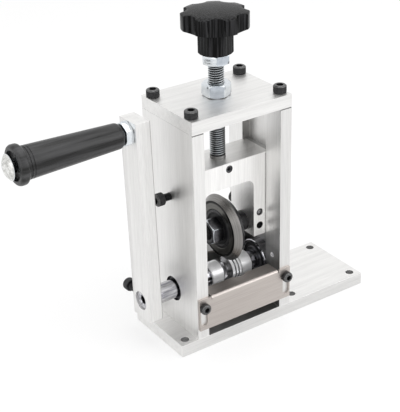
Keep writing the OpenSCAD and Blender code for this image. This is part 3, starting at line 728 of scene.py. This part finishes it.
# %% [markdown]
# ## The slide block
#
# The block is an upside-down U. It is cut from one bar: the arch in the middle with two rounded
# corners, a step behind each foot, and holes for the blade axle and all the screws. Its finish is
# painted brighter, as painted light. A shallow relief along both upper edges and two fine lines
# where the front meets the side plates are painted dark, as painted shade, and so are the walls of
# two holes in the front.

# %% Slide block
# Where the two painted shade lines run down the front.
SHADE_LINES_X = (-64.5, 2.5)
block = plate("slide_block", (-71.85, -14.85, 70), (9.85, 14.85, 140))
combine(block, plate("arch_low", (-53.5, -40, 60), (-8.5, 40, 114)))
combine(block, plate("arch_high", (-47.5, -40, 60), (-14.5, 40, 120)))
for x in (-47.5, -14.5):
    drill(block, (x, -20, 114), (x, 20, 114), 6)
combine(block, plate("step", (-80, 7.15, 60), (20, 40, 86)))
drill(block, (-9.5, 0, BLADE_Z), (15, 0, BLADE_Z), 6)
drill_down(block, TOWER_X, 0, 128, 141, 6.02, 64)
drill(block, (TOWER_X, -20, RETAINER_Z), (TOWER_X, 0, RETAINER_Z), 3, 48)
for x in LEGS_X:
    drill(block, (x, -20, LEG_SCREW_Z), (x, 20, LEG_SCREW_Z), 3, 48)
drill(block, (LEGS_X[1], -20, BLADE_Z), (LEGS_X[1], 0, BLADE_Z), 3, 48)
for x0, x1 in ((-80, -67.4), (5.4, 20)):
    combine(block, plate("relief", (x0, -20, 139.6), (x1, 20, 141)))
for x in SHADE_LINES_X:
    combine(block, plate("painted_shade_line", (x - 0.2, -16, 60), (x + 0.2, -14.6, 139)))
break_edges(block, 0.3)
# Painted light: a brighter finish.
dress(block, painted_bright_aluminium, "slide", "slide_block")
# Painted shade on the relief floors and the lines on the front.
paint(block, painted_shade_aluminium, lambda x, y, z: (139.3 < z < 139.7 and not -67.4 < x < 5.4)
      or (-14.8 < y < -14.5 and min(abs(x - line) for line in SHADE_LINES_X) < 0.3))
# Painted shade on the walls of the retainer's hole and the set screw's hole.
paint(block, dark_steel_and_painted_shade, lambda x, y, z: -14.5 < y < -0.1
      and min(hypot(x - TOWER_X, z - RETAINER_Z), hypot(x - LEGS_X[1], z - BLADE_Z)) < 3.02)
paint(block, aluminium_x, lambda x, y, z: z > 139.9)

# %% [markdown]
# ## The crank arm
#
# The arm is a flat bar that leans back a little. The shaft and the handle bolt go through it, and
# the clamp screw comes in from behind. The edge next to the tower has a fine step that is painted
# dark, as painted shade, and shows as a line.

# %% Crank arm
arm = plate("crank_arm", (-104.7, -11, 25), (-92.7, 11, 187.5))
drill(arm, (-106, 0, SHAFT_Z), (-91, 0, SHAFT_Z), 7.5)
drill(arm, (-106, 0, HANDLE_Z), (-91, 0, HANDLE_Z), 5, 48)
drill(arm, (-98.7, 0, SHAFT_Z), (-98.7, 13, SHAFT_Z), 3, 48)
break_edges(arm, 0.4)
combine(arm, plate("shade_line", (-93.3, -12, 24), (-92, -10.8, 189)))
dress(on_crank(arm), aluminium_z, "crank", "crank_arm")
# Painted shade in the step.
paint(arm, painted_shade_aluminium, lambda x, y, z: -93.31 < x < -92.69 and z > 26
      and y < (z - SHAFT_Z) * math.tan(radians(CRANK_LEAN)) - 10)

# %% [markdown]
# ## The guide plates
#
# Each guide is bent from sheet. The lower part is full width, the ears beside the flange carry
# the slots for the screws, and the flange turns inwards over a small radius. A round notch in
# its edge lets the cable dip towards the roller. The rear guide is the mirror image of the front.
# Both are painted dark inside, as painted shade, and the top of the rear flange carries a
# painted reflection.

# %% Guide plates
OUTER_Y, INNER_Y, BEND_Y, BEND_Z = -34.6, -33.1, -32.1, 42.8
FLANGE = (-62.5, 0.5)
guide = plate("front_guide_plate", (-74, OUTER_Y, 18), (12, INNER_Y, BEND_Z))
for x0, x1 in ((-74, -63.1), (1.1, 12)):
    combine(guide, plate("ear", (x0, OUTER_Y, 42), (x1, INNER_Y, 45.3)), "UNION")
bend = bar("bend", (FLANGE[0], BEND_Y, BEND_Z), (FLANGE[1], BEND_Y, BEND_Z), 2.5)
drill(bend, (-64, BEND_Y, BEND_Z), (2, BEND_Y, BEND_Z), 1, 48)
combine(bend, plate("quarter", (-64, -36, BEND_Z), (2, BEND_Y, 46)), "INTERSECT")
combine(guide, bend, "UNION")
combine(guide, plate("flange", (FLANGE[0], BEND_Y, 43.8), (FLANGE[1], -21.1, 45.3)), "UNION")
drill_down(guide, BLADE_X, -14.35, 30, 60, 9.25, 96)
for x in PLATES_X:
    combine(guide, plate("slot", (x - 3, -40, 24.5), (x + 3, -30, GUIDE_SCREW_Z)))
    for z in (24.5, GUIDE_SCREW_Z):
        drill(guide, (x, -40, z), (x, -30, z), 3, 48)
recalculate(guide)
break_edges(guide, 0.2)
smooth(recalculate(guide))
rear_guide = copy_of(guide, "rear_guide_plate")
rear_guide.scale = (1, -1, 1)
smooth(recalculate(settle(rear_guide)))
dress(guide, nickel, "front_guide", "front_guide_plate")
dress(rear_guide, nickel, "rear_guide", "rear_guide_plate")
# Painted shade inside both guides, and a painted reflection on the rear flange's top.
paint(guide, deep_painted_shade, lambda x, y, z: -33.2 < y < -32 and z < 43)
paint(rear_guide, deep_painted_shade, lambda x, y, z: (32 < y < 33.2 and z < 43) or z > 45.2)

# %% [markdown]
# ## Nuts
#
# A nut starts as a six-sided bar. A turned cone takes the corners off at both ends, which leaves
# the curved edges that every nut has. The bore is countersunk at each end. Every second flat is
# painted a little darker, as painted shade. The lock nut's lower edge carries a painted shadow,
# and the axle nut's flats are dark, as a painted reflection, with bright zinc corners.

# %% Nuts
def point_corner(piece, angle):
    """Turns a many-sided bar about Z until its first corner points at an angle in degrees."""
    x, y, _ = piece.data.vertices[0].co
    return turn_settled(piece, angle - degrees(atan2(y, x)), "Z")

def hex_nut(name, flats, height, bore, corner_at=0, soften=0.12):
    """A nut that stands on z = 0, in millimetres."""
    corner = flats / 2 * TO_CORNER
    nut = point_corner(bar(name, (0, 0, 0), (0, 0, height), corner, 6), corner_at)
    low = flats / 2 - 0.3
    line = [(0, 0), (low, 0), (corner + 0.1, 1.1), (corner + 0.1, height - 1.1), (low, height),
            (0, height)]
    combine(nut, turned("corners", line, 96), "INTERSECT")
    drill_down(nut, 0, 0, -1, height + 1, bore, 64)
    for start, way in ((0, 1), (height, -1)):
        top, bottom = start - way, start + 0.7 * way
        combine(nut, turned("sink", [(0, top), (bore + 1.6, top), (bore - 0.1, bottom), (0, bottom)]))
    recalculate(nut)
    break_edges(nut, soften, angle=28)
    return nut

def paint_shade_on_every_second(nut, first_flat):
    """Paints every second flat of an upright nut on the tower's axis darker, as painted shade."""
    def on_flat(x, y, z):
        angle = degrees(atan2(y, x - TOWER_X))
        return hypot(x - TOWER_X, y) > 9.3 and abs((angle - first_flat + 60) % 120 - 60) < 12
    paint(nut, painted_shade_zinc, on_flat)

lock_nut = shift_settled(hex_nut("lock_nut", 19, 10, 6, -92), TOWER_X, 0, TOWER_TOP)
dress(lock_nut, zinc, "lock_nut", "lock_nut")
paint_shade_on_every_second(lock_nut, -122)
# Painted shadow along the lock nut's lower edge.
paint(lock_nut, deep_painted_shade, lambda x, y, z: z < 190.7 and hypot(x - TOWER_X, y) > 8.5)
knob_nut = shift_settled(hex_nut("knob_nut", 19, 8, 6, -122), TOWER_X, 0, 214.5)
dress(knob_nut, zinc, "screw", "knob_nut")
paint_shade_on_every_second(knob_nut, -92)

axle_nut = turn_settled(hex_nut("axle_nut", 19, 10, 6, soften=0.4), 90, "Y")
# Painted reflection: the nut's flats are dark, and its rounded corners keep bright zinc.
dress(shift_settled(axle_nut, -43, 0, BLADE_Z), dark_steel_and_painted_shade, "slide", "axle_nut")
paint(axle_nut, zinc, lambda x, y, z: hypot(y, z - BLADE_Z) > (9.3 if x < -41.9 else 10.2))
jam_nut = turn_settled(hex_nut("handle_jam_nut", 17, 6, 5), 90, "Y")
shift_settled(jam_nut, -110.7, 0, HANDLE_Z)
dress(on_crank(jam_nut), zinc, "crank", "handle_jam_nut")

# %% [markdown]
# ## The adjusting screw
#
# This is plain studding with a real helix. Its foot sits in the block, where a neck takes the tip
# of the retainer screw. The finish is painted darker towards the axis, as painted shade in the
# grooves of the thread. The foot and the groove above it are painted dark, as painted shade.

# %% Adjusting screw
def thread_finish(name, root, crest):
    """Zinc painted darker from crest to root of the upright thread, as painted shade, in millimetres from
    its axis.
    """
    material = finish(name, 1)
    reach = distance_from_axis(material.node_tree, (TOWER_X, 0, 0), (1, 1, 0))
    depth = map_range(material.node_tree, reach, root * MM, crest * MM)
    cloud = noise(material, 600, 4)
    both = blend_values(material, depth, cloud, 0.2)
    vary_colour(material, both, (0.05, 0.053, 0.056), (0.78, 0.81, 0.83), 0.42, 1)
    vary_roughness(material, cloud, 0.2, 0.4)
    add_bump(material, cloud, 0.004, 0.4)
    return material

rod = threaded_rod("adjusting_screw", 5.95, 1.75, 143.6, 239, 40)
smooth(rod, 50)
line = [(0, 128.3), (5.35, 128.3), (5.95, 128.9), (5.95, 131.7), (4, 131.7), (4, 138.3),
        (5.95, 138.3), (5.95, 142.5), (4.9, 142.9), (4.9, 143.8), (0, 143.8)]
foot = turned("foot", line)
smooth(foot)
adjuster = shift_settled(join([rod, foot]), TOWER_X, 0, 0)
dress(adjuster, thread_finish("zinc_thread", 4.95, 5.9), "screw", "adjusting_screw")
# Painted shade on the foot and in the groove at the end of the thread.
paint(adjuster, deep_painted_shade, lambda x, y, z: z < 142.6)
paint(adjuster, black_oxide, lambda x, y, z: 142.6 < z < 143.8 and hypot(x - TOWER_X, y) > 4.6)

# %% [markdown]
# ## The star knob
#
# The head is turned with a crowned top and an underside that rises towards the rim. Seven round
# cutters leave seven lobes. The hub below is a seven-sided boss. Moulded edges are never sharp,
# so all of them are rounded.

# %% Star knob
LOBES = 7
FIRST_SCALLOP = -122
line = [(0, 239), (17, 239), (24.7, 241.6), (24.7, 252.4), (23.6, 252.9), (18, 253.6), (10, 254.1),
        (0, 254.3)]
knob = turned("star_knob", line, 140)
for i in range(LOBES):
    angle = radians(FIRST_SCALLOP + i * 360 / LOBES)
    x, y = 27.7 * cos(angle), 27.7 * sin(angle)
    drill_down(knob, x, y, 238, 256, 7.5, 64)
hub = point_corner(bar("hub", (0, 0, 222.5), (0, 0, 240), 13.2, LOBES), FIRST_SCALLOP + 180 / LOBES)
line = [(0, 222.5), (12.2, 222.5), (13.4, 223.7), (13.4, 240), (0, 240)]
combine(hub, turned("hub_chamfer", line, 84), "INTERSECT")
combine(knob, hub, "UNION")
drill_down(knob, 0, 0, 221, 239, 8.22, 64)
recalculate(knob)
break_edges(knob, 0.7, 3, 24)
dress(shift_settled(knob, TOWER_X, 0, 0), knob_plastic, "screw", "star_knob")

# %% [markdown]
# ## The handle
#
# The rubber grip is moulded: it widens towards the collar, two fine rings mark the thick end,
# and the domed head of the bolt sits in a recess. The grip is turned along Z and then laid along
# X, which is where the crank needs it. The head has lost its blue tint to the user's hand.

# %% Grip and handle bolt
def turned_x(name, points, steps=96):
    """A solid turned about X from (radius, x) points in millimetres."""
    return turn_settled(turned(name, points, steps), 90, "Y")

def arc(centre, radius, start, end, count):
    """Points on an arc in (radius, x), with angles in degrees from the radius axis."""
    turns = [radians(start + (end - start) * i / count) for i in range(count + 1)]
    return [(centre[0] + radius * cos(t), centre[1] + radius * sin(t)) for t in turns]

line = arc((5.5, -115), 4, 90, 0, 8)
for ring_x in (-182.9, -185.2):
    r = 9.5 + 2.5 * (-115 - ring_x) / 72
    line += [(r, ring_x + 0.5), (r - 0.4, ring_x + 0.2), (r - 0.4, ring_x - 0.2), (r, ring_x - 0.5)]
line += [(12, -186.6)] + arc((12, -189.5), 2.5, 90, 0, 6) + arc((12, -191.5), 2.5, 0, -90, 6)
line += [(10.75, -194), (10.75, -191), (5.3, -191), (5.3, -111), (5.5, -111)]
grip = turned_x("handle_grip", line)
smooth(shift_settled(grip, 0, 0, HANDLE_Z), 40)
dress(on_crank(grip), rubber, "grip", "handle_grip")

dome_r = (9.5 ** 2 + 4 ** 2) / 8
reach = degrees(math.asin(9.2 / dome_r))
dome = arc((0, -201 + dome_r), dome_r, -90 + reach, -90, 14)
line = [(0, -92.7), (4.5, -92.7), (4.95, -93.2), (4.95, -197), (9.2, -197), (9.5, -197.15)]
bolt = turned_x("handle_bolt", line + dome, 72)
smooth(shift_settled(bolt, 0, 0, HANDLE_Z), 40)
dress(on_crank(bolt), zinc, "crank", "handle_bolt")
paint(bolt, worn_zinc, lambda x, y, z: x < -197.4)

# %% [markdown]
# ## The drive shaft
#
# The shaft and the roller are one turned piece. Bands with teeth, which are made like those of
# the screw heads, lie on both sides of the V that holds the wire. Outside them it is plain.

# %% Drive shaft
def ridge(start, end):
    return [(9.45, start), (10, start + 0.25), (10, end - 0.25), (9.45, end)]

line = [(0, -103.2), (6.9, -103.2), (7.48, -102.6), (7.48, -44.6), (9.4, -44.6), (10, -44),
        (10, -33.9), (9.45, -33.6)]
line += ridge(-33.4, -30.6) + [(7, -28.1), (7, -27.9)]
for start, end in ((-25.4, -22.6), (-21.9, -19.6)):
    line += ridge(start, end) + [(9, end + 0.2), (9, end + 0.4)]
line += ridge(-18.9, -16.6)
line += [(9.45, -16.2), (10, -15.9), (10, -6.9), (9.4, -6.3), (7.48, -6.3), (7.48, 11.4), (6.9, 12),
         (0, 12)]
shaft = turned("drive_shaft", line, 120)
cut_teeth(shaft, 120, 9.9, -33.3, -30.7, 0.96)
cut_teeth(shaft, 120, 9.9, -25.3, -16.5, 0.96)
drill_down(shaft, 0, 0, -105, -83.2, 3.4)
combine(shaft, turned("centre", [(0, -104), (4.9, -104), (3.2, -102.3), (0, -102.3)], 48))
turn_settled(recalculate(shaft), 90, "Y")
smooth(shift_settled(shaft, 0, 0, SHAFT_Z), 25)
dress(shaft, polished, "crank", "drive_shaft")
# Painted shade in the drive socket.
paint(shaft, dark_steel_and_painted_shade, lambda x, y, z: x < -82 and hypot(y, z - SHAFT_Z) < 3.42)
# The plain bands are painted near white, partly as painted light.
paint(shaft, satin_steel_and_painted_light, lambda x, y, z: -44.7 < x < -6.2 and hypot(y, z - SHAFT_Z) > 9.6)
paint(shaft, toothed_steel, lambda x, y, z: -33.5 < x < -16.1 and hypot(y, z - SHAFT_Z) > 6.9)
# Painted highlights on the crests of the far teeth.
paint(shaft, satin_steel_and_painted_light, lambda x, y, z: -25.3 < x < -16.3 and hypot(y, z - SHAFT_Z) > 9.78)

# %% [markdown]
# ## Ball bearings
#
# Three bearings of standard kinds: an outer ring, an inner ring and a moulded seal on each side.
# The balls behind the seals stay as they are in the CAD model. Every ring has its corners broken.

# %% Ball bearings
def ring(name, r_in, r_out, x0, x1, c):
    """A ring along X with c taken off its corners, in millimetres."""
    line = [(r_in, x0 + c), (r_in + c, x0), (r_out - c, x0), (r_out, x0 + c), (r_out, x1 - c),
            (r_out - c, x1), (r_in + c, x1), (r_in, x1 - c), (r_in, x0 + c)]
    return turned_x(name, line)

def seal(r_in, r_out, face, way):
    """A seal with a raised rim and a shallow dish between. way is 1 where its back is at plus X."""
    back = face + 0.8 * way
    rim, dish = face + 0.15 * way, face + 0.25 * way
    line = [(r_in, rim), (r_in + 0.7, face), (r_in + 1, dish), (r_out - 0.9, dish), (r_out - 0.6, face),
            (r_out, face + 0.1 * way), (r_out, back), (r_in, back), (r_in, rim)]
    return turned_x("seal", line)

def ball_bearing(name, x0, x1, z, radii, bodies, outer_finish):
    """radii are the bore, the inner ring's shoulder, the outer ring's shoulder and the outside."""
    bore, inner, outer, outside = radii
    outer_ring = ring("outer", outer, outside, x0, x1, 0.5)
    inner_ring = ring("inner", bore, inner, x0, x1, 0.4)
    seals = join([seal(inner + 0.3, outer - 0.02, x0 + 0.3, 1),
                  seal(inner + 0.3, outer - 0.02, x1 - 0.3, -1)])
    for piece in (outer_ring, inner_ring, seals):
        smooth(shift_settled(piece, 0, 0, z), 30)
    dress(outer_ring, outer_finish, bodies[0], name + "_outer")
    # Painted shade: the inner ring is dark.
    dress(inner_ring, dark_steel_and_painted_shade, bodies[1], name + "_inner")
    dress(seals, seal_rubber, bodies[0], name + "_seals")

for name, x in (("left_bearing", -73), ("right_bearing", 2)):
    ball_bearing(name, x, x + 9, SHAFT_Z, (7.5, 10.25, 13.5, 16), ("frame", "crank"), polished)
# Painted shade: the blade bearing's outer ring is black.
ball_bearing("blade_bearing", -33, -23, BLADE_Z, (6, 9, 13, 16), ("blade", "slide"), black_oxide)

# %% [markdown]
# ## The blade and its axle
#
# The blade is a disc with two ground bevels that meet in a narrow edge. It turns on a bearing.
# The axle is held in the right leg, and a nut and a black spacer keep the bearing in its place.

# %% Blade, axle and spacer
line = [(16.02, -32.7), (16.32, -33), (22.7, -33), (22.85, -32.93), (27, -28.1), (27, -27.9),
        (22.85, -23.07), (22.7, -23), (16.32, -23), (16.02, -23.3), (16.02, -32.7)]
blade = turned_x("blade_disc", line, 144)
smooth(shift_settled(blade, 0, 0, BLADE_Z), 20)
dress(blade, ground_steel, "blade", "blade_disc")
# Painted shade on the far bevel.
paint(blade, dark_steel_and_painted_shade, lambda x, y, z: x > -27.8 and hypot(y, z - BLADE_Z) > 22.9)

axle_end = threaded_rod("axle_end", 5.98, 1.75, -44, -32)
smooth(axle_end, 50)
axle = bar("axle", (0, 0, -32.2), (0, 0, 9), 5.98)
break_edges(axle, 0.5)
axle = turn_settled(join([axle, axle_end]), 90, "Y")
dress(shift_settled(axle, 0, 0, BLADE_Z), black_oxide, "slide", "blade_axle")

spacer = ring("axle_spacer", 6, 8, -23, -8.5, 0.3)
smooth(shift_settled(spacer, 0, 0, BLADE_Z), 30)
dress(spacer, black_oxide, "slide", "axle_spacer")

# %% [markdown]
# ## Headless screws
#
# Two screws have no head: the retainer, which keeps the adjusting screw in the block, and the
# set screw that holds the blade axle. Each is a short thread with a socket in its end.

# %% Grub screws
def grub_screw(name, length, tip_r, tip_l, place):
    """A headless M6 screw that points backwards from a place in millimetres."""
    screw = threaded_rod(name, 2.95, 1, -length + tip_l, 0, 24)
    drill_down(screw, 0, 0, -3, 1, 1.5 * TO_CORNER, 6)
    tip = bar("tip", (0, 0, -length), (0, 0, -length + tip_l + 0.2), tip_r, 32)
    smooth(screw, 40)
    return shift_settled(turn_settled(join([screw, tip]), 90, "X"), *place)

retainer = grub_screw("block_retainer_screw", 10.05, 2, 2, (TOWER_X, -14.35, RETAINER_Z))
dress(retainer, dark_steel_and_painted_shade, "slide", "block_retainer_screw")
paint(retainer, drilled, lambda x, y, z: -11.6 < y < -11.1
      and hypot(x - TOWER_X, z - RETAINER_Z) < 1.9)
set_screw = grub_screw("axle_set_screw", 6.85, 2.4, 0.6, (LEGS_X[1], -12.85, BLADE_Z))
dress(set_screw, black_oxide, "slide", "axle_set_screw")

# %% [markdown]
# ## Floor and light
#
# The tool stands on a white sweep. The floor is an ordinary matt white that takes the shadow.
# For the camera, and for what shiny metal mirrors, part of it is lifted to white, and the world
# behind it is white too. Three large soft lamps give the light.

# %% Floor, world and lamps
def rays_of(tree, *kinds):
    """One for rays of these kinds, and zero for all others."""
    rays = add_node(tree, "LightPath", {})
    seen = rays.outputs[kinds[0]]
    for kind in kinds[1:]:
        seen = add_node(tree, "Math", {0: seen, 1: rays.outputs[kind]}, "MAXIMUM").outputs["Value"]
    return seen

def blend_shaders(tree, first, second, share, output):
    mix = add_node(tree, "MixShader", {"Fac": share, 1: first, 2: second})
    fill(tree, tree.nodes[output], {"Surface": mix.outputs["Shader"]})

clear_selection()
bpy.ops.mesh.primitive_plane_add(size=6, location=(0, 0, -0.0002))
floor = bpy.context.object
floor.name = "white_floor"
floor_paint = finish("white_floor", 0)
fill_shader(floor_paint, {"Base Color": (0.92, 0.92, 0.92, 1), "Roughness": 0.8})
floor_tree = floor_paint.node_tree
floor_seen = rays_of(floor_tree, "Is Camera Ray", "Is Glossy Ray")
floor_share = add_node(floor_tree, "Math", {0: floor_seen, 1: 0.6}, "MULTIPLY").outputs["Value"]
blend_shaders(floor_tree, floor_tree.nodes["Principled BSDF"].outputs["BSDF"],
              add_node(floor_tree, "Emission", {}).outputs["Emission"], floor_share, "Material Output")
floor.data.materials.append(floor_paint)

world = bpy.data.worlds.new("soft_room")
bpy.context.scene.world = world
world.use_nodes = True
room = world.node_tree
soft_light = fill(room, room.nodes["Background"], {"Color": (1, 1, 1, 1), "Strength": 0.9})
seen_white = add_node(room, "Background", {"Color": (1, 1, 1, 1), "Strength": 1})
blend_shaders(room, soft_light.outputs["Background"], seen_white.outputs["Background"],
              rays_of(room, "Is Camera Ray", "Is Glossy Ray", "Is Transmission Ray"), "World Output")

def lamp(name, place, size, watts):
    """A round soft lamp that points at the middle of the tool, in metres."""
    light = bpy.data.lights.new(name, "AREA")
    light.shape = "DISK"
    light.size = size
    light.energy = watts
    holder = bpy.data.objects.new(name, light)
    bpy.context.scene.collection.objects.link(holder)
    holder.location = place
    aim = Vector((0, 0, 0.1)) - Vector(place)
    holder.rotation_euler = aim.to_track_quat("-Z", "Y").to_euler()
    print(name, "gives", watts, "W from", place)

lamp("overhead", (0.1, -0.1, 1.3), 1.2, 5)
lamp("front_right", (0.8, -1.0, 0.7), 0.8, 4)
lamp("left_fill", (-1.2, -0.3, 0.6), 0.9, 2)
bpy.context.scene.view_settings.view_transform = "Standard"

# %% [markdown]
# ## What stays from the CAD model
#
# The balls run hidden behind their seals and the knob's insert is moulded in. Their CAD shapes
# are already right, so they only get a finish.

# %% Finishes for the CAD pieces that stay
KEPT = {side + "_bearing_balls": polished for side in ("left", "right", "blade")}
KEPT["knob_insert"] = zinc
for name, material in KEPT.items():
    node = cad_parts[name]
    node.data.materials.clear()
    node.data.materials.append(material)
print("kept CAD pieces:", ", ".join(KEPT))
